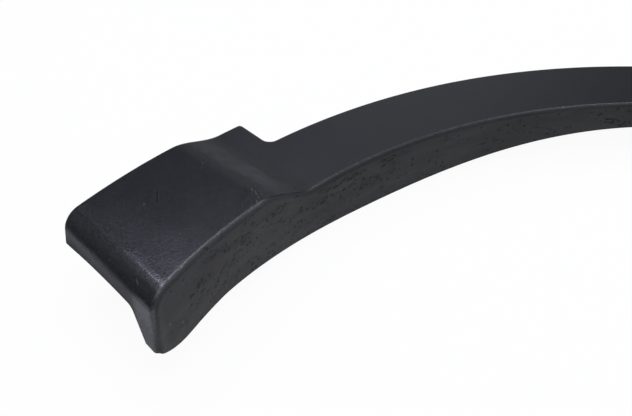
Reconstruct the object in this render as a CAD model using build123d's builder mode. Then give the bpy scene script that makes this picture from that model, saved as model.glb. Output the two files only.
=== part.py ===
from build123d import *
from math import asin, cos, degrees, radians, sin, sqrt, tan
import os

# Driving dimensions in millimetres. The trim lies face up, heights are above the surface under it,
# and angles run round the wheel axis from the far end to the foot.
arch_radius = 370.0      # wheel opening, from the wheel axis to the flange
band_width = 61.0        # arch band, at the height of its face
foot_width = 94.0        # wide foot, at the same height
wall = 3.0               # moulded wall
outer_draft = 10.0       # degrees that the outer walls lean out towards the body panel
end_draft = 6.0          # degrees that the foot's end wall leans out
panel_gap = 11.0         # face of the band above the body panel
foot_rise_inner = 15.5   # top of the ramp above the band, at the flange
foot_rise_outer = 12.1   # top of the ramp above the band, at the outer edge
foot_slope = 0.048       # climb of the foot's face from the ramp to its end, for each unit of length
foot_drop = 153.5        # end of the foot below the wheel axis, at the height of the band's face
ramp_drop = 37.6         # middle of the ramp up to the foot, below the wheel axis
ramp_length = 44.0       # run of the ramp
end_roll = 12.0          # roll of the foot's face into its end wall
edge_round = 3.2         # edges of the face
notch_round = 6.0        # inner corner of the notch above the foot
tab_round = 3.8          # outer corner of the notch

# Flange: its depths below the face of the band, and where its trim line turns
ear_depth = 40.0         # deepest, beside the foot
crest_depth = 20.0       # over the top of the arch
foot_depth = 28.9        # along the foot
corner_depth = 18.0      # at the end of the foot
crest_height = 275.0     # above the wheel axis, where the flange starts to deepen
ear_height = 42.0        # above the wheel axis, middle of the ear
ear_spread = 0.35        # share of the way to the next turn that the ear stays near its full depth
foot_level_run = 30.0    # level stretch along the foot
corner_run = 25.5        # rise from there to the end wall

# Lower edge of the foot's end wall, with the leg that it keeps beside the flange
lip_end_rise = 5.3       # lip at its end, above the body panel
leg_width = 24.7         # top of the leg
leg_tip_width = 12.0     # lower end of the leg
leg_round = 7.0          # corner between edge and leg

# Clip housings and gussets on the back
clip_count = 6           # along the band
clip_end_angle = 12.0    # first and last of them, from the two ends of the half circle
foot_clip_drop = 115.0   # clip in the foot, below the wheel axis
housing_length = 24.0    # along the arch
housing_width = 20.0     # across the band
housing_wall = 2.0
gusset_size = 14.0
gusset_wall = 2.0

# Push-in clips with a split shank
clip_head_radius = 7.0
clip_head_thickness = 1.6
clip_neck_radius = 3.8
clip_skirt_radius = 8.5
clip_skirt_height = 2.0
clip_shank_radius = 4.2
clip_shank_length = 10.0
clip_tip_radius = 1.8
clip_tip_length = 5.0
clip_slit_width = 1.4
clip_clearance = 0.2     # neck in its slot, each side, and head above its shelf

# Sizes that follow from the ones above
band_outer = arch_radius + band_width
foot_outer = arch_radius + foot_width
band_face = ear_depth
panel_plane = band_face - panel_gap
foot_top = band_face + max(foot_rise_inner, foot_rise_outer) + foot_slope * foot_drop
ramp_angle = 180 + degrees(asin(ramp_drop / (arch_radius + foot_width / 2)))
lean = tan(radians(outer_draft))
end_lean = tan(radians(end_draft))
lip_flare = panel_gap * lean
shelf_low = panel_plane + clip_skirt_height
shelf_top = shelf_low + housing_wall
end_flange_x = -sqrt(arch_radius**2 - foot_drop**2)
end_lip_x = -sqrt((foot_outer + lip_flare) ** 2 - foot_drop**2)
beyond = 10.0            # how far cutting solids reach past the material
band_overlap = 1.0       # degrees that the band runs on into the foot

clip_radius = arch_radius + band_width / 2
clip_pitch = (180 - 2 * clip_end_angle) / (clip_count - 1)
foot_clip_radius = arch_radius + foot_width / 2
foot_clip_angle = 180 + degrees(asin(foot_clip_drop / foot_clip_radius))
band_clips = PolarLocations(clip_radius, clip_count, clip_end_angle, 180 - 2 * clip_end_angle, endpoint=True)
foot_clip = PolarLocations(foot_clip_radius, 1, foot_clip_angle)
clip_places = band_clips.locations + foot_clip.locations
gusset_angles = [clip_end_angle + clip_pitch * (n + 0.5) for n in range(clip_count - 1)] + [foot_clip_angle]

ramp_plane = Plane(
    origin=(0, 0, 0),
    x_dir=(-sin(radians(ramp_angle)), cos(radians(ramp_angle)), 0),
    z_dir=(cos(radians(ramp_angle)), sin(radians(ramp_angle)), 0),
)


def ring_section(outer, top, inset):
    """Section between the flange and a drafted outer wall, moved in by inset, as points out from the axis."""
    return (
        (arch_radius + inset, -beyond),
        (outer + (band_face + beyond) * lean - inset, -beyond),
        (outer + (band_face - top) * lean - inset, top),
        (arch_radius + inset, top),
    )


def arch_form(inset):
    """Solid from the visible faces down past the lowest edge, with its walls and faces moved in by inset."""
    low = band_face - inset
    half = ramp_length / 2
    handle = ramp_length / 3
    with BuildPart() as form:
        # Foot and ramp: a side profile lofted across the foot and trimmed to the foot's outline
        for widths_in in (-1, 2):
            high = low + foot_rise_outer + widths_in * (foot_rise_inner - foot_rise_outer)
            climbed = high + foot_slope * 2 * foot_drop
            with BuildSketch(ramp_plane.offset(foot_outer - widths_in * foot_width)):
                with BuildLine():
                    level = Line((-ramp_length, low), (-half, low))
                    ramp = Bezier(
                        level @ 1,
                        (handle - half, low),
                        (half - handle, high - foot_slope * handle),
                        (half, high),
                    )
                    Polyline(
                        ramp @ 1,
                        (half + 2 * foot_drop, climbed),
                        (half + 2 * foot_drop, -beyond),
                        (-ramp_length, -beyond),
                        level @ 0,
                    )
                make_face()
        loft(ruled=True)
        with BuildSketch(Plane.XZ):
            with BuildLine():
                Polyline(*ring_section(foot_outer, foot_top + beyond, inset), close=True)
            make_face()
        revolve(axis=Axis.Z, mode=Mode.INTERSECT)
        with BuildSketch(Plane.YZ):
            with BuildLine():
                Polyline(
                    (-inset, -beyond),
                    (inset - foot_drop - (band_face + beyond) * end_lean, -beyond),
                    (inset - foot_drop + (foot_top + beyond - band_face) * end_lean, foot_top + beyond),
                    (-inset, foot_top + beyond),
                    close=True,
                )
            make_face()
        extrude(amount=-2 * foot_outer, mode=Mode.INTERSECT)
        end_wall = form.faces().sort_by(Axis.Y)[0]
        fillet(end_wall.edges().sort_by(Axis.Z)[-1], radius=end_roll - inset)

        # Band: its section turned about the wheel axis, cut level at the far end
        with BuildSketch(Plane.XZ):
            with BuildLine():
                Polyline(*ring_section(band_outer, low, inset), close=True)
            make_face()
        revolve(axis=Axis.Z, revolution_arc=180 + band_overlap)
        with Locations((0, inset, -beyond)):
            Box(
                2 * foot_outer,
                foot_drop,
                foot_top + 2 * beyond,
                align=(Align.MIN, Align.MAX, Align.MIN),
                mode=Mode.SUBTRACT,
            )
    return form.part


def corner_at(part, x, y):
    """Corner edge of a wall that passes nearest to a place in plan, at half the height of the band."""
    return part.edges().sort_by_distance(Vector(x, y, band_face / 2))[0]


def is_upright(face):
    """True for a wall that stands about square to the face of the band."""
    return abs(face.normal_at().Z) < 2 * lean


with BuildPart() as outer_form:
    add(arch_form(0))
    fillet(corner_at(outer_form, -band_outer - lip_flare, 0), radius=notch_round)
    fillet(corner_at(outer_form, -foot_outer - lip_flare, 0), radius=tab_round)
    # Top edges of every wall but the foot's rolled end, and that end's two upright corners
    walls = outer_form.faces().filter_by(is_upright).sort_by(Axis.Y)[1:]
    rim = walls.edges().filter_by_position(Axis.Z, panel_plane, foot_top)
    corners = [corner_at(outer_form, x, -foot_drop) for x in (end_flange_x, end_lip_x)]
    fillet(list(rim) + corners, radius=edge_round)


with BuildPart() as housings:
    # One box for each clip, open at one end, with a slotted shelf that the clip slides on to
    with Locations(*clip_places):
        with Locations((0, 0, shelf_low)):
            Box(housing_width, housing_length, foot_top, align=(Align.CENTER, Align.CENTER, Align.MIN))
        with Locations((0, housing_wall, shelf_top)):
            Box(
                housing_width - 2 * housing_wall,
                housing_length,
                foot_top,
                align=(Align.CENTER, Align.CENTER, Align.MIN),
                mode=Mode.SUBTRACT,
            )
        slot_radius = clip_neck_radius + clip_clearance
        with Locations((0, 0, shelf_low)):
            Cylinder(
                slot_radius,
                housing_wall,
                align=(Align.CENTER, Align.CENTER, Align.MIN),
                mode=Mode.SUBTRACT,
            )
            Box(
                2 * slot_radius,
                housing_length,
                housing_wall,
                align=(Align.CENTER, Align.MIN, Align.MIN),
                mode=Mode.SUBTRACT,
            )
    add(arch_form(wall / 2), mode=Mode.INTERSECT)

with BuildPart() as gussets:
    for angle in gusset_angles:
        with BuildSketch(Plane.XZ.rotated((0, 0, angle))):
            with BuildLine():
                Polyline(
                    (arch_radius, band_face - wall - gusset_size),
                    (arch_radius + wall, band_face - wall - gusset_size),
                    (arch_radius + wall + gusset_size, band_face - wall),
                    (arch_radius + wall + gusset_size, foot_top),
                    (arch_radius, foot_top),
                    close=True,
                )
            make_face()
        extrude(amount=gusset_wall / 2, both=True)
    add(arch_form(wall / 2), mode=Mode.INTERSECT)

with BuildPart() as moulding:
    add(outer_form.part)
    add(arch_form(wall), mode=Mode.SUBTRACT)

    # Lip and far end wall, cut level with the body panel, one wall clear of the flange and the foot's end
    with BuildSketch(Plane.XY.offset(-2 * beyond)):
        Circle(foot_outer + 2 * beyond)
        Circle(arch_radius + 2 * wall, mode=Mode.SUBTRACT)
        with Locations((0, 2 * wall - foot_drop)):
            Rectangle(
                3 * foot_outer,
                3 * foot_outer,
                align=(Align.CENTER, Align.MIN),
                mode=Mode.INTERSECT,
            )
    extrude(amount=panel_plane + 2 * beyond, mode=Mode.SUBTRACT)

    # Lower edge of the foot's end wall, arched from the lip to the leg
    lip_end = panel_plane + lip_end_rise
    leg_tip = (end_flange_x - leg_tip_width, band_face - corner_depth)
    with BuildSketch(Plane.XZ.offset(foot_drop)) as end_cut:
        with BuildLine():
            arched = TangentArc((end_flange_x - leg_width, band_face), (end_lip_x, lip_end), tangent=(-1, 0))
            Polyline(
                arched @ 1,
                (-foot_outer - beyond, lip_end),
                (-foot_outer - beyond, -2 * beyond),
                (leg_tip[0], -2 * beyond),
                leg_tip,
                arched @ 0,
            )
        make_face()
        fillet(end_cut.vertices().sort_by(Axis.Y)[-1], radius=leg_round)
    extrude(amount=beyond, both=True, mode=Mode.SUBTRACT)

    # Lip along the foot, cut to climb from the ramp to that edge
    with BuildSketch(Plane.YZ.offset(-arch_radius - 2 * wall)):
        with BuildLine():
            Polyline((-ramp_drop, panel_plane), (-foot_drop, lip_end), (-foot_drop, panel_plane), close=True)
        make_face()
    extrude(amount=-foot_width, mode=Mode.SUBTRACT)

    # Flange, trimmed to its line as seen from the front of the car, the same on both sides
    with BuildSketch(Plane.YZ):
        with BuildLine():
            crest = Vector(crest_height, band_face - crest_depth)
            ear = Vector(ear_height, band_face - ear_depth)
            corner = Vector(corner_run - foot_drop, band_face - foot_depth)
            foot = corner + Vector(foot_level_run, 0)
            fall = Vector((crest_height - ear_height) * ear_spread, 0)
            climb = Vector((ear_height - foot.X) * ear_spread, 0)
            above = Line((band_outer, crest.Y), crest)
            Bezier(crest, crest - fall, ear + fall, ear)
            Bezier(ear, ear - climb, foot + climb / 4, foot)
            Line(foot, corner)
            end = TangentArc(corner, (-foot_drop, band_face - corner_depth), tangent=(-1, 0))
            Polyline(
                end @ 1,
                (-foot_drop - beyond, band_face - corner_depth),
                (-foot_drop - beyond, -2 * beyond),
                (band_outer, -2 * beyond),
                above @ 0,
            )
        make_face()
    extrude(amount=foot_outer, both=True, mode=Mode.SUBTRACT)

    add(housings.part)
    add(gussets.part)

with BuildPart() as clip:
    head_low = shelf_top + clip_clearance
    head_top = head_low + clip_head_thickness
    shank_low = panel_plane - clip_shank_length
    tip = shank_low - clip_tip_length
    with BuildSketch(Plane.XZ):
        with BuildLine():
            Polyline(
                (0, head_top),
                (clip_head_radius, head_top),
                (clip_head_radius, head_low),
                (clip_neck_radius, head_low),
                (clip_neck_radius, shelf_low),
                (clip_skirt_radius, panel_plane),
                (clip_shank_radius, panel_plane),
                (clip_shank_radius, shank_low),
                (clip_tip_radius, tip),
                (0, tip),
                close=True,
            )
        make_face()
    revolve(axis=Axis.Z)
    with Locations((0, 0, tip)):
        Box(
            clip_slit_width,
            2 * clip_shank_radius,
            clip_tip_length + clip_shank_length,
            align=(Align.CENTER, Align.CENTER, Align.MIN),
            mode=Mode.SUBTRACT,
        )

# The origin lies below the middle of the trim's outline
end_reach = foot_drop + corner_depth * end_lean
rest_place = ((foot_outer - band_outer) / 2, (end_reach - band_outer - lip_flare) / 2, 0)

with BuildPart() as arch_trim:
    with Locations(rest_place):
        add(moulding.part)

with BuildPart() as retaining_clips:
    with Locations(rest_place):
        with Locations(*clip_places):
            add(clip.part)

os.makedirs("parts", exist_ok=True)
arch_trim.part.label = "arch_trim"
export_step(arch_trim.part, "parts/arch_trim.step")
retaining_clips.part.label = "retaining_clips"
export_step(retaining_clips.part, "parts/retaining_clips.step")
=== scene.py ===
from math import cos, pi, radians, sin

import bpy
import numpy as np
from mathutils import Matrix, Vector


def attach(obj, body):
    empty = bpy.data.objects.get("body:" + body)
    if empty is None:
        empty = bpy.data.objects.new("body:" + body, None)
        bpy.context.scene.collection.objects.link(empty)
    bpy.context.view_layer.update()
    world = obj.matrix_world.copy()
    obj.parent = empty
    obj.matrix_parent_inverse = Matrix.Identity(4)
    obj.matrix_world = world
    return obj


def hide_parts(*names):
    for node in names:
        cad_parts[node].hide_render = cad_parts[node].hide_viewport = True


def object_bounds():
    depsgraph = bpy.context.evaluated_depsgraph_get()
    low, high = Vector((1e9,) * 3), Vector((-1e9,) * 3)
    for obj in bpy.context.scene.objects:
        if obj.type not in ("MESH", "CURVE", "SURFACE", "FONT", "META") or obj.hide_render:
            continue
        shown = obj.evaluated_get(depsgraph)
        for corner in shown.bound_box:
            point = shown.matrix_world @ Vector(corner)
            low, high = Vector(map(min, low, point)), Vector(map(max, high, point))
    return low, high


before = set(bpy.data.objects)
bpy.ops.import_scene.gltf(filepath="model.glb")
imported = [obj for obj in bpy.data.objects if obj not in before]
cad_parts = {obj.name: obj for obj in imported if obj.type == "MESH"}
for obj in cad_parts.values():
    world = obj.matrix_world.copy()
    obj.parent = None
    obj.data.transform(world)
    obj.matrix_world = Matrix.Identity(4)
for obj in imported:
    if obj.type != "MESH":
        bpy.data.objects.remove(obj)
cad_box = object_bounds()

# Trim: one moulding that covers the edge of a car's wheel opening, of charcoal polypropylene.
# It is injection moulded with a fine grain on its face, and years of road dirt have pitted and
# dulled the flange that faces the tyre. Clips on its back hold it to the body panel.
wheel_axis = (0.0165, -0.138774, 0.0)
arch_radius = 0.370            # from the wheel axis to the flange
band_outer = 0.431             # from the wheel axis to the outer edge of the band
band_face = 0.040              # height of the band's face
band_ends = -0.134             # lengthways: from here on the band is turned, clear of its ends
foot_end = -0.292274           # lengthways: end wall of the foot
edge_round = 0.0032            # edges of the face
outer_draft = radians(10.0)    # lean of the outer wall
on_surface = 0.00003           # distance that still counts as lying on a surface
finest_facet = 0.000012        # least bulge that gets a finer facet
refinements = 4
fan_steps = 40                 # enough to reach round the largest fan of facets
smooth_bend = 0.88             # cosine above which two facets run smoothly into each other
sharp_bend = 0.97              # cosine below which the two sides of an edge form a crease
largest_bulge = 0.12           # share of an edge's length that its middle may stand off
least_turn = 0.15              # sine of the angle between two walls that still gives a crease its way
inner_round = (arch_radius + edge_round, band_face - edge_round)
outer_round = (band_outer - edge_round * (1 - sin(outer_draft)) / cos(outer_draft), band_face - edge_round)


def place_in_section(points):
    """Ways out from the wheel axis, places as reach and height, and the nearer rounded edge of the band.

    That edge is given by the middle of its round, and by which of the points lie on it.
    """
    out = (points - wheel_axis) * (1, 1, 0)
    reach = np.linalg.norm(out, axis=-1, keepdims=True)
    place = np.concatenate([reach, points[..., 2:]], axis=-1)
    outside = reach > (arch_radius + band_outer) / 2
    middle = np.where(outside, outer_round, inner_round)
    outward, rise = np.moveaxis((place - middle) * np.where(outside, (1, 1), (-1, 1)), -1, 0)
    rounded = np.abs(np.hypot(outward, rise) - edge_round) < on_surface
    rounded &= np.minimum(outward, rise) > -on_surface
    return out / reach, place, middle, rounded & (points[..., 1] > band_ends)


def pair_edges(corners):
    """Each edge of a closed mesh of triangles, once: its two ends, and the two facets' sides along it."""
    ends = np.stack([corners, np.roll(corners, -1, axis=1)], axis=2).reshape(-1, 2)
    backward = ends[:, 0] > ends[:, 1]
    ends[backward] = ends[backward][:, ::-1]
    edges, edge_of_side, sides = np.unique(ends, axis=0, return_inverse=True, return_counts=True)
    order = np.argsort(edge_of_side.reshape(-1), kind="stable")
    start = np.cumsum(sides) - sides
    pair = np.stack([order[start], order[start + sides - 1]], axis=1)
    return edges, edge_of_side.reshape(-1), backward, pair, sides


def corner_normals(points, corners):
    """Normals at the corners of the facets, shared by the facets that run smoothly into each other."""
    a, b, c = (points[corners[:, n]] for n in range(3))
    area = np.cross(b - a, c - a)
    flat = area / np.maximum(np.linalg.norm(area, axis=1, keepdims=True), 1e-15)
    _, _, backward, pair, _ = pair_edges(corners)
    facet = pair // 3
    smooth = pair[(flat[facet[:, 0]] * flat[facet[:, 1]]).sum(1) > smooth_bend]
    start_corner, end_corner = smooth, smooth // 3 * 3 + (smooth + 1) % 3
    turned = backward[smooth]
    joined = np.vstack([
        np.where(turned, end_corner, start_corner),
        np.where(turned, start_corner, end_corner),
    ])
    fan = np.arange(corners.size)
    for step in range(fan_steps):
        lowest = fan[joined].min(axis=1)
        np.minimum.at(fan, joined[:, 0], lowest)
        np.minimum.at(fan, joined[:, 1], lowest)
    total = np.zeros((corners.size, 3))
    np.add.at(total, fan, np.repeat(area, 3, axis=0))
    normals = total[fan]
    normals /= np.maximum(np.linalg.norm(normals, axis=1, keepdims=True), 1e-15)

    # Walls and the band's face are turned about the wheel axis, so their normals don't lean along the arch
    most_slip, steepest, face_slack = 0.035, 0.3, 0.00005
    spot = points[corners.reshape(-1)]
    out, place, middle, rounded = place_in_section(spot)
    along = np.stack([-out[:, 1], out[:, 0], 0 * out[:, 2]], axis=1)
    slip = (normals * along).sum(1, keepdims=True)
    turned = (spot[:, 2:] < band_face + face_slack) | (np.abs(normals[:, 2:]) < steepest)
    turned &= np.abs(slip) < most_slip
    normals = np.where(turned, normals - slip * along, normals)
    outward, rise = np.split(place - middle, 2, axis=1)
    normals = np.where(rounded[:, None], outward * out + rise * (0, 0, 1), normals)
    return (normals / np.linalg.norm(normals, axis=1, keepdims=True)).reshape(-1, 3, 3)


def middle_of_edges(run, first, last, sharp):
    """How far the middle of each edge stands off its chord, from the normals at its ends on both sides."""
    length = np.linalg.norm(run, axis=1, keepdims=True)

    def unit(vectors):
        return vectors / np.maximum(np.linalg.norm(vectors, axis=1, keepdims=True), 1e-12)

    def across(normals):
        along = np.cross(normals[:, 0], normals[:, 1])
        along *= np.sign((along * run).sum(1, keepdims=True))
        steady = np.linalg.norm(along, axis=1, keepdims=True) > least_turn
        return np.where(steady, unit(along) * length, run)

    low, high = unit(first.sum(1)), unit(last.sum(1))
    bulge = ((run * high).sum(1, keepdims=True) * high - (run * low).sum(1, keepdims=True) * low) / 8
    crease = (across(first) - across(last)) / 8
    return np.where(sharp[:, None], crease, bulge)


def middle_of_arcs(ends):
    """Middles of edges along the band's rim, on its arcs and rounded edges, and which edges those are."""
    out, place, middle, rounded = place_in_section(ends)
    halfway = out.sum(1)
    halfway /= np.linalg.norm(halfway, axis=1, keepdims=True)
    section = place.mean(1)
    spoke = section - middle[:, 0]
    spoke *= edge_round / np.maximum(np.linalg.norm(spoke, axis=1, keepdims=True), 1e-9)
    section = np.where(rounded.all(1)[:, None], middle[:, 0] + spoke, section)
    reach = place[..., 0]
    rim = (reach < inner_round[0] + on_surface).all(1) | (reach > outer_round[0] - on_surface).all(1)
    rim &= (ends[..., 1] > band_ends).all(1)
    return section[:, :1] * halfway + wheel_axis + section[:, 1:] * (0, 0, 1), rim


def round_out(mesh):
    """A finer copy of the moulding's mesh, whose flat facets are bulged out to the curves they stand for."""
    points = np.array([v.co for v in mesh.vertices])
    corners = np.array([p.vertices for p in mesh.polygons])
    _, kept, welded = np.unique(np.round(points, 7), axis=0, return_index=True, return_inverse=True)
    points, corners = points[kept], welded.reshape(-1)[corners]
    whole = (corners != np.roll(corners, 1, axis=1)).all(axis=1)
    corners = corners[whole]
    normals = corner_normals(points, corners)
    for step in range(refinements):
        edges, edge_of_side, backward, pair, sides = pair_edges(corners)
        end_normals = np.stack([normals, np.roll(normals, -1, axis=1)], axis=2).reshape(-1, 2, 3)
        end_normals[backward] = end_normals[backward][:, ::-1]
        run = points[edges[:, 1]] - points[edges[:, 0]]
        first, last = end_normals[pair, 0], end_normals[pair, 1]
        bends = [(sides_there[:, 0] * sides_there[:, 1]).sum(1) for sides_there in (first, last)]
        sharp = np.minimum(*bends) < sharp_bend
        offset = middle_of_edges(run, first, last, sharp)
        on_arc, rim = middle_of_arcs(points[edges])
        offset = np.where(rim[:, None], on_arc - points[edges].mean(1), offset)
        stand_off = np.linalg.norm(offset, axis=1)
        steady = rim | (stand_off < largest_bulge * np.linalg.norm(run, axis=1))
        split = (stand_off > finest_facet) & steady & (sides == 2)

        number = np.where(split, len(points) - 1 + np.cumsum(split), -1)
        points = np.vstack([points, ((points[edges[:, 0]] + points[edges[:, 1]]) / 2 + offset)[split]])
        side_run = run[edge_of_side]
        total = end_normals.sum(1)
        tilt = 2 * (side_run * total).sum(1, keepdims=True) / (side_run**2).sum(1, keepdims=True)
        middle = total - tilt * side_run
        middle /= np.linalg.norm(middle, axis=1, keepdims=True)

        slots = np.hstack([corners, number[edge_of_side].reshape(-1, 3)])
        slot_normals = np.concatenate([normals, middle.reshape(-1, 3, 3)], axis=1)
        halved = slots[:, 3:] >= 0
        pieces, piece_normals = [], []
        layouts = {
            0: [(0, 1, 2)],
            1: [(0, 3, 2), (3, 1, 2)],
            2: [(3, 1, 4), (0, 3, 4), (0, 4, 2)],
            3: [(0, 3, 5), (3, 1, 4), (5, 4, 2), (3, 4, 5)],
        }
        for count, layout in layouts.items():
            for turn in range(3 if count in (1, 2) else 1):
                wanted = np.roll(np.arange(3) < count, turn)
                rows = (halved == wanted).all(axis=1)
                for shape in layout:
                    turned = [(slot + turn) % 3 + 3 * (slot // 3) for slot in shape]
                    pieces.append(slots[rows][:, turned])
                    piece_normals.append(slot_normals[rows][:, turned])
        corners, normals = np.vstack(pieces), np.concatenate(piece_normals)
    rounded = bpy.data.meshes.new("rounded_moulding")
    rounded.from_pydata(np.clip(points, *cad_box).tolist(), [], corners.tolist())
    rounded.polygons.foreach_set("use_smooth", [True] * len(corners))
    rounded.normals_split_custom_set(normals.reshape(-1, 3).tolist())
    return rounded


trim = bpy.data.objects.new("arch_moulding", round_out(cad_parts["arch_trim"].data))
bpy.context.scene.collection.objects.link(trim)
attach(trim, "root")
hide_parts("arch_trim")


def make_material(name):
    """A new node material: the material, its node tree and its shader."""
    material = bpy.data.materials.new(name)
    material.use_nodes = True
    return material, material.node_tree, material.node_tree.nodes["Principled BSDF"]


def place_node(tree, kind, inputs=None, **settings):
    """A node with its settings, and with each input set to a number or linked to a socket."""
    node = tree.nodes.new(kind)
    for name, value in settings.items():
        setattr(node, name, value)
    for socket, value in (inputs or {}).items():
        if isinstance(value, bpy.types.NodeSocket):
            tree.links.new(value, node.inputs[socket])
        else:
            node.inputs[socket].default_value = value
    return node


def sum_up(tree, operation, *values, clamp=False):
    """Result of a maths node."""
    node = place_node(tree, "ShaderNodeMath", dict(enumerate(values)), operation=operation, use_clamp=clamp)
    return node.outputs[0]


def shift_vector(tree, operation, *values):
    """Result of a vector maths node."""
    return place_node(tree, "ShaderNodeVectorMath", dict(enumerate(values)), operation=operation).outputs[0]


def overlap(tree, total, *others):
    """Product of masks or other numbers."""
    for other in others:
        total = sum_up(tree, "MULTIPLY", total, other)
    return total


def measure(tree, operation, *values):
    """Number that comes out of a vector maths node."""
    node = place_node(tree, "ShaderNodeVectorMath", dict(enumerate(values)), operation=operation)
    return node.outputs["Value"]


def fade(tree, value, start, end, first=0.0, last=1.0):
    """A smooth change from first to last as value goes from start to end."""
    inputs = {"Value": value, "From Min": start, "From Max": end, "To Min": first, "To Max": last}
    node = place_node(tree, "ShaderNodeMapRange", inputs, interpolation_type="SMOOTHSTEP")
    return node.outputs["Result"]


def blend_colour(tree, amount, under, over):
    """One colour laid over another."""
    node = place_node(tree, "ShaderNodeMix", data_type="RGBA")
    for socket, value in ((0, amount), (6, under), (7, over)):
        if isinstance(value, bpy.types.NodeSocket):
            tree.links.new(value, node.inputs[socket])
        else:
            node.inputs[socket].default_value = value
    return node.outputs[2]


def cloud(tree, where, scale, detail=2.0, roughness=0.5):
    """Soft noise from 0 to 1, with scale in patches to the metre."""
    inputs = {"Vector": where, "Scale": scale, "Detail": detail, "Roughness": roughness}
    return place_node(tree, "ShaderNodeTexNoise", inputs).outputs["Fac"]


def specks(tree, where, scale, share, largest):
    """Spots on a flat sheet: share is how many of its cells have one, largest their radius in cells."""
    inputs = {"Vector": where, "Scale": scale}
    cells = place_node(tree, "ShaderNodeTexVoronoi", inputs, voronoi_dimensions="2D")
    draw = place_node(tree, "ShaderNodeSeparateColor", {"Color": cells.outputs["Color"]})
    size = overlap(tree, fade(tree, draw.outputs["Green"], 0.0, 1.0, 0.35, 1.0), largest)
    edge = sum_up(tree, "SUBTRACT", cells.outputs["Distance"], size)
    spot = fade(tree, edge, -0.08, 0.05, 1.0, 0.0)
    chosen = sum_up(tree, "LESS_THAN", draw.outputs["Red"], share)
    return overlap(tree, spot, chosen)


def line_mark(tree, where, start, end, half_width):
    """A mark on the face, along the straight line between two places in plan."""
    run = Vector((*end, 0.0)) - Vector((*start, 0.0))
    from_start = shift_vector(tree, "SUBTRACT", where, (*start, 0.0))
    reach = shift_vector(tree, "MULTIPLY", from_start, (1.0, 1.0, 0.0))
    along = measure(tree, "DOT_PRODUCT", reach, run / run.length_squared)
    held = sum_up(tree, "ADD", along, 0.0, clamp=True)
    nearest = place_node(tree, "ShaderNodeVectorMath", {0: run, "Scale": held}, operation="SCALE").outputs[0]
    away = measure(tree, "DISTANCE", reach, nearest)
    return fade(tree, away, 0.4 * half_width, half_width, 1.0, 0.0)


def spot_mark(tree, where, place, size):
    """A soft round mark about a place on the moulding."""
    away = measure(tree, "DISTANCE", where, place)
    return fade(tree, away, 0.3 * size, size, 1.0, 0.0)


def gather(tree, marks):
    """The strongest of several masks."""
    total = marks[0]
    for mark in marks[1:]:
        total = sum_up(tree, "MAXIMUM", total, mark)
    return total


charcoal = (0.0080, 0.0085, 0.0108, 1.0)
faded_charcoal = (0.0100, 0.0105, 0.0130, 1.0)
glint_grey = (0.030, 0.031, 0.038, 1.0)
road_dust = (0.043, 0.044, 0.046, 1.0)
scuffed_leg = (0.26, 0.26, 0.266, 1.0)
pit_black = (0.003, 0.003, 0.003, 1.0)
chalky_nick = (0.28, 0.28, 0.29, 1.0)
ramp_top, ramp_foot = -0.199, -0.154      # lengthways
ridge_top = 0.0560                        # height of the foot's edge above the flange
leg_start, leg_full = -0.347, -0.336      # across: where the scuffs on the leg begin
grain_turn = radians(47.7)
grain_stretch = (1.0, 1.6, 1.0)
grain_per_metre = 1150.0
grain_depth = 0.000062
pebbles_per_metre = 1300.0
ripples_per_metre = 1100.0
ripple_reach = 0.0024                     # how far the outlines of the pits wander
pit_depth = 0.0005

plastic, tree, shader = make_material("grained_charcoal_plastic")
where = place_node(tree, "ShaderNodeTexCoord").outputs["Object"]
from_axis = shift_vector(tree, "SUBTRACT", where, wheel_axis)
axis_parts = place_node(tree, "ShaderNodeSeparateXYZ", {0: from_axis}).outputs
in_plan = place_node(tree, "ShaderNodeCombineXYZ", {0: axis_parts[0], 1: axis_parts[1]}).outputs[0]
radius = measure(tree, "LENGTH", in_plan)
turn = sum_up(tree, "ARCTAN2", axis_parts[1], axis_parts[0])
round_arch = overlap(tree, turn, arch_radius)
wall_parts = {0: round_arch, 1: axis_parts[2], 2: radius}
on_wall = place_node(tree, "ShaderNodeCombineXYZ", wall_parts).outputs[0]
facing = place_node(tree, "ShaderNodeNewGeometry").outputs["Normal"]
upward = sum_up(tree, "ABSOLUTE", place_node(tree, "ShaderNodeSeparateXYZ", {0: facing}).outputs[2])
across, lengthways, height = place_node(tree, "ShaderNodeSeparateXYZ", {0: where}).outputs

# Masks: the flange, the end wall and its dust, the worn edge of the foot with its painted highlight, and the
# depth below the ridge
flange = fade(tree, radius, arch_radius + 0.0006, arch_radius + 0.0020, 1.0, 0.0)
near_end = fade(tree, lengthways, foot_end + 0.004, foot_end + 0.010, 1.0, 0.0)
end_wall = overlap(tree, near_end, fade(tree, upward, 0.0, 0.55, 1.0, 0.0))
end_dust = overlap(tree, end_wall, fade(tree, height, 0.032, 0.046, 1.0, 0.25))
dusty = sum_up(tree, "MAXIMUM", flange, end_dust)
worn_edge_and_highlight = overlap(
    tree,
    fade(tree, radius, arch_radius + 0.0022, arch_radius + 0.0045, 1.0, 0.0),
    fade(tree, upward, 0.30, 0.55),
    fade(tree, lengthways, -0.203, -0.185, 1.0, 0.3),
)
ridge_height = fade(tree, lengthways, ramp_top, ramp_foot, ridge_top, band_face)
below_ridge = sum_up(tree, "SUBTRACT", ridge_height, height)
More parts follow.
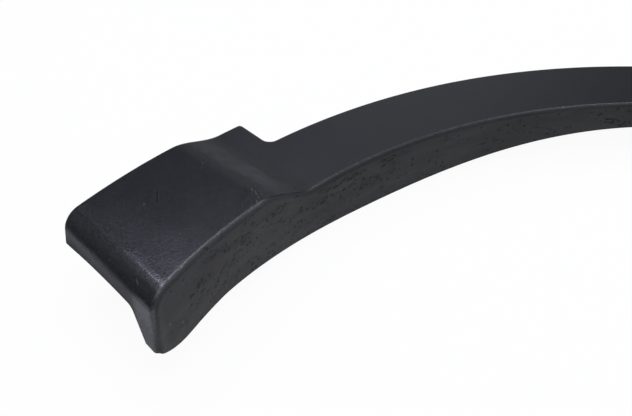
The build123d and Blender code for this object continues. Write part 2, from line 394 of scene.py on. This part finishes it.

# Colour: slow fading of the charcoal, pale grain specks as painted glints, dust on the walls, and scuffs on
# the leg with painted shade at its corner
colour = blend_colour(tree, cloud(tree, where, 14.0, 4.0), charcoal, faded_charcoal)
grain_flow = {"Vector": where, "Rotation": (0.0, 0.0, grain_turn), "Scale": grain_stretch}
along_grain = place_node(tree, "ShaderNodeMapping", grain_flow, vector_type="TEXTURE").outputs[0]
pebbles = fade(tree, cloud(tree, along_grain, pebbles_per_metre, 1.0), 0.40, 0.62)
painted_glint_share = sum_up(tree, "MULTIPLY_ADD", dusty, -0.20, 0.26)
# Painted glints: pale grey specks following the grain's pattern, fewer where dust lies
colour = blend_colour(tree, overlap(tree, pebbles, painted_glint_share), colour, glint_grey)
long_streaks = shift_vector(tree, "MULTIPLY", on_wall, (14.0, 70.0, 1.0))
streak = fade(tree, cloud(tree, long_streaks, 1.0, 4.0, 0.6), 0.3, 0.75)
mottle = fade(tree, cloud(tree, where, 620.0, 4.0, 0.75), 0.36, 0.66, 0.70, 1.28)
low_on_wall = fade(tree, below_ridge, 0.002, 0.010, 0.85, 1.0)
thick_patch = overlap(tree, spot_mark(tree, where, (-0.350, -0.187, 0.030), 0.050), 0.30)
lying = sum_up(tree, "ADD", fade(tree, streak, 0.0, 1.0, 0.15, 0.55), thick_patch)
colour = blend_colour(tree, overlap(tree, dusty, mottle, lying, low_on_wall), colour, road_dust)
# Pale scuffs on the leg, faded out towards its corner with the flange, so the corner keeps a painted shade
leg_scuffs_and_corner_shade = overlap(
    tree,
    end_wall,
    fade(tree, across, leg_start, leg_full),
    fade(tree, radius, arch_radius + 0.0008, arch_radius + 0.0045, 0.15, 1.0),
)
colour = blend_colour(tree, overlap(tree, leg_scuffs_and_corner_shade, mottle, 0.55), colour, scuffed_leg)

# Pits in the flange, in clusters that run along it, most of them beside the ramp
beside_ramp = overlap(
    tree,
    fade(tree, lengthways, -0.250, -0.225),
    fade(tree, lengthways, -0.120, -0.095, 1.0, 0.0),
    0.9,
)
pitted = overlap(
    tree,
    sum_up(tree, "MAXIMUM", fade(tree, cloud(tree, on_wall, 24.0, 2.0), 0.34, 0.58), beside_ramp),
    fade(tree, below_ridge, 0.002, 0.006),
    fade(tree, below_ridge, 0.014, 0.027, 1.0, 0.35),
    flange,
    fade(tree, lengthways, -0.10, 0.0, 1.0, 0.45),
)
along_wall = shift_vector(tree, "MULTIPLY", on_wall, (0.40, 1.0, 0.0))
cluster = overlap(tree, fade(tree, cloud(tree, along_wall, 130.0, 2.0), 0.46, 0.58), pitted)
ripple_inputs = {"Vector": where, "Scale": ripples_per_metre, "Detail": 1.0}
ripple = place_node(tree, "ShaderNodeTexNoise", ripple_inputs).outputs["Color"]
ripple = shift_vector(tree, "SUBTRACT", ripple, (0.5, 0.5, 0.5))
ripple = shift_vector(tree, "MULTIPLY", ripple, (ripple_reach, ripple_reach, 0.0))
drawn_out = shift_vector(tree, "MULTIPLY", on_wall, (0.75, 1.0, 0.0))
wobbly = shift_vector(tree, "ADD", drawn_out, ripple)
pits = gather(tree, [
    specks(tree, wobbly, 430.0, sum_up(tree, "MULTIPLY_ADD", cluster, 0.55, 0.03), 0.48),
    specks(tree, wobbly, 700.0, sum_up(tree, "MULTIPLY_ADD", cluster, 0.40, 0.03), 0.50),
])
pits = overlap(tree, pits, flange, fade(tree, lengthways, foot_end + 0.006, foot_end + 0.014))
colour = blend_colour(tree, overlap(tree, cluster, 0.30), colour, charcoal)
colour = blend_colour(tree, overlap(tree, pits, 0.80), colour, pit_black)

# Dark scratches, pale nicks and flecks, and a smudge, where the worn face has them, and a painted highlight
# along the rounded edge.
# Each line is two places in plan and its half width, and each fleck is a place and its size.
scratches = gather(tree, [line_mark(tree, where, *line) for line in (
    ((-0.4041, -0.2353), (-0.3980, -0.2393), 0.0006),
    ((-0.3980, -0.2393), (-0.3920, -0.2423), 0.0005),
    ((-0.4297, -0.2436), (-0.4250, -0.2452), 0.0007),
    ((-0.3690, -0.2879), (-0.3688, -0.2877), 0.0008),
    ((-0.3943, -0.2847), (-0.3940, -0.2846), 0.0008),
    ((-0.3878, -0.2844), (-0.3875, -0.2843), 0.0007),
)])
nicks = gather(tree, [line_mark(tree, where, *line) for line in (
    ((-0.3956, -0.2507), (-0.3966, -0.2488), 0.0004),
    ((-0.4110, -0.1971), (-0.4090, -0.1981), 0.0003),
    ((-0.4362, -0.1797), (-0.4359, -0.1796), 0.0005),
    ((-0.3436, -0.2863), (-0.3403, -0.2875), 0.0003),
    ((-0.3006, 0.0559), (-0.3000, 0.0565), 0.0007),
    ((-0.3770, -0.0031), (-0.3762, -0.0031), 0.0004),
    ((-0.3670, -0.1908), (-0.3640, -0.1930), 0.0003),
    ((-0.3631, -0.1915), (-0.3586, -0.1935), 0.0003),
    ((-0.3573, -0.1936), (-0.3554, -0.1946), 0.0003),
    ((-0.3547, -0.1969), (-0.3512, -0.1990), 0.0003),
    ((-0.3582, -0.1908), (-0.3576, -0.1904), 0.0004),
)])
smudge = gather(tree, [line_mark(tree, where, *line) for line in (
    ((-0.3600, -0.2070), (-0.3655, -0.1965), 0.0028),
    ((-0.3655, -0.1965), (-0.3625, -0.1985), 0.0024),
)])
flecks = [spot_mark(tree, where, *spot) for spot in (
    ((-0.3287, -0.2719, 0.0250), 0.0009),
    ((-0.3249, -0.2814, 0.0342), 0.0008),
    ((-0.3412, -0.2331, 0.0167), 0.0009),
    ((-0.3414, -0.2322, 0.0307), 0.0006),
)]
flecks = gather(tree, flecks + [overlap(tree, specks(tree, wobbly, 300.0, 0.012, 0.10), flange)])
colour = blend_colour(tree, overlap(tree, scratches, 0.8), colour, pit_black)
colour = blend_colour(tree, overlap(tree, nicks, 0.22), colour, chalky_nick)
# Painted highlight: pale grey laid along the rounded edge of the face, strongest on the foot, brightens its
# highlight
colour = blend_colour(tree, overlap(tree, worn_edge_and_highlight, 0.08), colour, chalky_nick)
colour = blend_colour(tree, overlap(tree, flecks, 0.35), colour, chalky_nick)
tree.links.new(colour, shader.inputs["Base Color"])

# Sheen: satin on the face, dull where the dust lies
satin = fade(tree, cloud(tree, where, 30.0, 2.0), 0.3, 0.7, 0.175, 0.195)
satin = sum_up(tree, "MULTIPLY_ADD", worn_edge_and_highlight, 0.15, satin)
dulling = overlap(tree, dusty, fade(tree, pebbles, 0.0, 1.0, 0.03, -0.24))
sheen = overlap(
    tree,
    sum_up(tree, "ADD", fade(tree, pebbles, 0.0, 1.0, 0.38, 0.66), dulling),
    fade(tree, smudge, 0.0, 1.0, 1.0, 0.74),
    fade(tree, cluster, 0.0, 1.0, 1.0, 0.93),
    fade(tree, pits, 0.0, 1.0, 1.0, 0.66),
)
tree.links.new(sheen, shader.inputs["Specular IOR Level"])
tree.links.new(sum_up(tree, "MULTIPLY_ADD", dusty, 0.48, satin), shader.inputs["Roughness"])

# Relief: moulded grain all over, then the pits and scratches
grain = cloud(tree, along_grain, grain_per_metre, 1.0)
grain_relief = {"Height": grain, "Strength": 1.0, "Distance": grain_depth}
relief = place_node(tree, "ShaderNodeBump", grain_relief).outputs[0]
hollows = sum_up(tree, "MAXIMUM", pits, scratches)
hollow_relief = {"Height": hollows, "Strength": 1.0, "Distance": pit_depth, "Normal": relief}
relief = place_node(tree, "ShaderNodeBump", hollow_relief, invert=True).outputs[0]
tree.links.new(relief, shader.inputs["Normal"])
trim.data.materials.append(plastic)

# Clips: seven push-in fasteners on the back, of natural nylon, each slid into a slotted housing
# on the moulding. Their split shanks snap into round holes in the body panel.
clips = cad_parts["retaining_clips"]
natural_nylon = (0.62, 0.60, 0.53, 1.0)
yellowed_nylon = (0.55, 0.50, 0.40, 1.0)
nylon_bumps_per_metre = 900.0
nylon_bump_depth = 0.00004

nylon, tree, shader = make_material("natural_nylon")
where = place_node(tree, "ShaderNodeTexCoord").outputs["Object"]
colour = blend_colour(tree, cloud(tree, where, 90.0, 4.0), natural_nylon, yellowed_nylon)
tree.links.new(colour, shader.inputs["Base Color"])
tree.links.new(fade(tree, cloud(tree, where, 300.0), 0.3, 0.7, 0.38, 0.5), shader.inputs["Roughness"])
bumps = cloud(tree, where, nylon_bumps_per_metre)
nylon_relief = {"Height": bumps, "Strength": 0.5, "Distance": nylon_bump_depth}
tree.links.new(place_node(tree, "ShaderNodeBump", nylon_relief).outputs[0], shader.inputs["Normal"])
clips.data.materials.clear()
clips.data.materials.append(nylon)


# Floor: a plain white studio table that the trim lies on, face up, wide enough to fill the
# photograph's view. The camera and mirror-like surfaces see it as white, with a trace of shadow.
def lay_sheet(name, corners):
    """A flat sheet with four corners, and its mesh."""
    mesh = bpy.data.meshes.new(name)
    mesh.from_pydata(corners, [], [(0, 1, 2, 3)])
    sheet = bpy.data.objects.new(name, mesh)
    bpy.context.scene.collection.objects.link(sheet)
    return sheet, mesh


def seen_as_white(tree):
    """1 for rays from the camera, a mirror or glass, and 0 for the light that falls on the trim."""
    paths = place_node(tree, "ShaderNodeLightPath").outputs
    return gather(tree, [paths["Is Camera Ray"], paths["Is Glossy Ray"], paths["Is Transmission Ray"]])


half_side = 30.0
floor_gap = 0.0005
shadow_share = 0.05
floor, floor_mesh = lay_sheet("studio_floor", [
    (-half_side, -half_side, 0),
    (half_side, -half_side, 0),
    (half_side, half_side, 0),
    (-half_side, half_side, 0),
])
floor.location.z = -floor_gap
table_top, tree, shader = make_material("white_table_top")
shader.inputs["Base Color"].default_value = (0.95, 0.95, 0.95, 1.0)
shader.inputs["Roughness"].default_value = 0.9
shader.inputs["Specular IOR Level"].default_value = 0.0
plain_white = {"Color": (1.0, 1.0, 1.0, 1.0), "Strength": 1.0}
white = place_node(tree, "ShaderNodeEmission", plain_white).outputs[0]
amount = overlap(tree, seen_as_white(tree), 1.0 - shadow_share)
mixed = place_node(tree, "ShaderNodeMixShader", {0: amount, 1: shader.outputs[0], 2: white}).outputs[0]
tree.links.new(mixed, tree.nodes["Material Output"].inputs["Surface"])
floor_mesh.materials.append(table_top)


# Lamps: a softbox behind the foot, a second one beyond the band and a broad panel overhead.
# They stand for a plain product set-up, with each lamp turned to the trim.
def hang_softbox(name, place, target, width, height, radiance, colour):
    """An area lamp of even brightness, turned to a point."""
    lamp = bpy.data.lights.new(name, "AREA")
    lamp.shape = "RECTANGLE"
    lamp.size = width
    lamp.size_y = height
    lamp.energy = radiance * pi * width * height
    lamp.color = colour
    holder = bpy.data.objects.new(name, lamp)
    holder.location = place
    holder.rotation_euler = (Vector(target) - Vector(place)).to_track_quat("-Z", "Y").to_euler()
    holder.visible_camera = False
    bpy.context.scene.collection.objects.link(holder)


foot_middle = (-0.34, -0.26, 0.055)
band_middle = (-0.278, 0.086, 0.04)
below_panel = (-0.1, -0.2, 0.0)
hang_softbox("softbox_behind", (-0.777, 0.25, 1.10), foot_middle, 0.50, 0.26, 4.5, (0.90, 0.91, 1.0))
hang_softbox("softbox_far", (-0.34, 0.82, 0.985), band_middle, 0.34, 0.25, 2.3, (0.92, 0.93, 1.0))
hang_softbox("panel_overhead", (-0.1, -0.2, 2.1), below_panel, 1.7, 1.7, 1.2, (1.0, 1.0, 1.0))


# Flag: a low strip of grey felt that stands behind the trim, and keeps the white table out of the
# ramp's sheen. Only mirror-like surfaces see it.
def show_in_mirrors_only(sheet):
    """A sheet that only reflections show."""
    sheet.visible_camera = False
    sheet.visible_diffuse = False
    sheet.visible_shadow = False


def make_felt(name):
    """A new dull material: the material, its node tree and its shader."""
    felt, tree, shader = make_material(name)
    shader.inputs["Roughness"].default_value = 1.0
    shader.inputs["Specular IOR Level"].default_value = 0.0
    return felt, tree, shader


flag_height = 0.058
flag_ends = ((-0.858, -0.237), (-0.386, 0.281))
flag, flag_mesh = lay_sheet("grey_flag", [
    (*flag_ends[0], 0.0),
    (*flag_ends[1], 0.0),
    (*flag_ends[1], flag_height),
    (*flag_ends[0], flag_height),
])
show_in_mirrors_only(flag)
felt, tree, shader = make_felt("grey_felt")
shader.inputs["Base Color"].default_value = (0.43, 0.43, 0.44, 1.0)
flag_mesh.materials.append(felt)

# Mat: a sheet of grey felt on the table in front of the foot's end wall, paler beside the foot.
# Only mirror-like surfaces see it, so the end wall shades from light to dark.
mat_far = -9.0
mat_side = -0.30
mat_edge = -0.2905
mat, mat_mesh = lay_sheet("grey_mat", [
    (mat_far, mat_far, 0.0),
    (mat_side, mat_far, 0.0),
    (mat_side, mat_edge, 0.0),
    (mat_far, mat_edge, 0.0),
])
show_in_mirrors_only(mat)
felt, tree, shader = make_felt("graded_felt")
on_mat = place_node(tree, "ShaderNodeTexCoord").outputs["Object"]
mat_lengthways = place_node(tree, "ShaderNodeSeparateXYZ", {0: on_mat}).outputs[1]
near_foot = fade(tree, mat_lengthways, -0.42, -0.300)
shade = blend_colour(tree, near_foot, (0.14, 0.14, 0.15, 1.0), (0.44, 0.44, 0.45, 1.0))
tree.links.new(shade, shader.inputs["Base Color"])
mat_mesh.materials.append(felt)

# Room: a dim studio with paler walls to the right, a bright window high up beyond the foot and a soft
# ceiling, which the trim's sheen mirrors. A low white backdrop stands on the photographer's side.
backdrop_top = 0.035                      # sine of the angle that it stands above the horizon
backdrop_edge = 0.004
room = bpy.data.worlds.new("studio_room")
bpy.context.scene.world = room
room.use_nodes = True
tree = room.node_tree
aim = place_node(tree, "ShaderNodeTexCoord").outputs["Generated"]
leftward = measure(tree, "DOT_PRODUCT", aim, (-0.673, -0.740, 0.0))
onward = measure(tree, "DOT_PRODUCT", aim, (-0.740, 0.673, 0.0))
skyward = measure(tree, "DOT_PRODUCT", aim, (0.0, 0.0, 1.0))
left_walls = fade(tree, leftward, 0.51, 0.76, 0.0, 0.23)
wall_glow = overlap(
    tree,
    sum_up(tree, "ADD", fade(tree, leftward, -0.08, 0.24, 0.417, 0.093), left_walls),
    fade(tree, leftward, -0.50, -0.15, 0.34, 1.0),
    fade(tree, skyward, 0.06, 0.55, 0.52, 1.0),
)
wall_glow = sum_up(tree, "ADD", wall_glow, fade(tree, leftward, -0.92, -0.62, 0.34, 0.0))
window = overlap(
    tree,
    fade(tree, leftward, 0.17, 0.33, 42.0, 1.50),
    fade(tree, leftward, 0.02, 0.34),
    fade(tree, onward, 0.0, 0.25),
    fade(tree, skyward, 0.648, 0.742),
    fade(tree, skyward, 0.80, 0.90, 1.0, 0.0),
)
ceiling = fade(tree, skyward, 0.64, 0.80, 0.0, 0.44)
glow = sum_up(tree, "ADD", wall_glow, sum_up(tree, "MAXIMUM", window, ceiling))
dim_room = tree.nodes["Background"]
tree.links.new(glow, dim_room.inputs["Strength"])
tint = blend_colour(tree, fade(tree, window, 0.0, 2.0), (0.90, 0.93, 1.0, 1.0), (0.80, 0.79, 1.0, 1.0))
tree.links.new(tint, dim_room.inputs["Color"])
white = place_node(tree, "ShaderNodeBackground", plain_white).outputs[0]
low_down = fade(tree, skyward, backdrop_top - backdrop_edge, backdrop_top, 1.0, 0.0)
near_side = fade(tree, onward, -0.45, -0.30, 1.0, 0.0)
amount = overlap(tree, seen_as_white(tree), low_down, near_side)
mixed = place_node(tree, "ShaderNodeMixShader", {0: amount, 1: dim_room.outputs[0], 2: white}).outputs[0]
tree.links.new(mixed, tree.nodes["World Output"].inputs["Surface"])

# Camera: above the inside of the arch, close to the foot, as the photograph was taken.
# The far half of the arch runs out of the picture on the right.
camera = bpy.data.cameras.new("camera")
camera.sensor_width = 36.0
camera.lens = 39.87
viewpoint = bpy.data.objects.new("camera", camera)
viewpoint.location = (-0.0892, -0.390074, 0.3230)
viewpoint.rotation_euler = (radians(50.0), 0.0, radians(47.7))
bpy.context.scene.collection.objects.link(viewpoint)
bpy.context.scene.camera = viewpoint
bpy.context.scene.view_settings.view_transform = "Standard"
